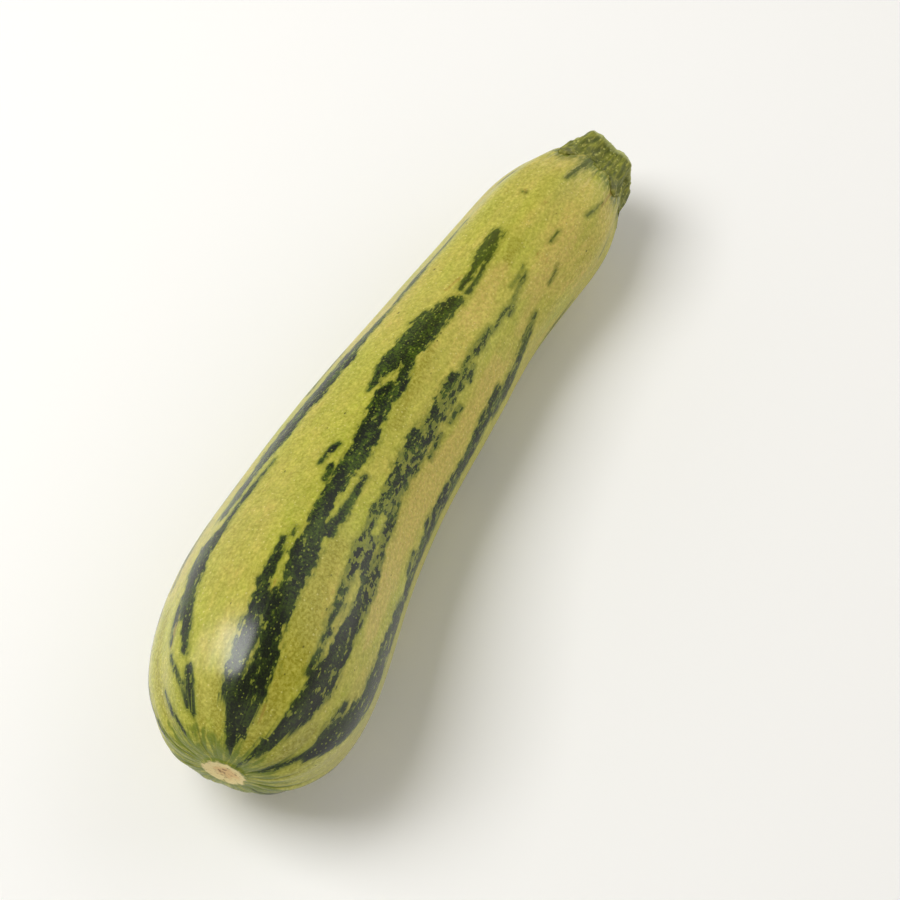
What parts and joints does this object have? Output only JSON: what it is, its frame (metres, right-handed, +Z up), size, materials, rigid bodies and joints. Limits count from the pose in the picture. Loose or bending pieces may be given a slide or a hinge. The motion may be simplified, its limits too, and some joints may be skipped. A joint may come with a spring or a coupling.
{
  "type": "zucchini",
  "caption": "Whole striped zucchini, slightly bowed and thicker at the blossom end, with a corky blossom scar and a short five-cornered stub of cut stalk, lying on its side.",
  "frame": {"origin": "on the surface it rests on, under the middle of its bounding box", "axes": "+X along the fruit from the blossom scar to the stalk; +Y to the side that it bows towards; +Z up"},
  "size_m": [0.1952, 0.0536, 0.0527],
  "materials": {
    "skin": "waxy vegetable skin, satin: pale yellow-green with ragged dark green stripes and pale speckles",
    "stalk": "fibrous green plant stalk, matte, with pale specks and a paler cut face"
  },
  "bodies": {
    "root": {"fruit": "skin", "stalk": "stalk"}
  },
  "joints": []
}
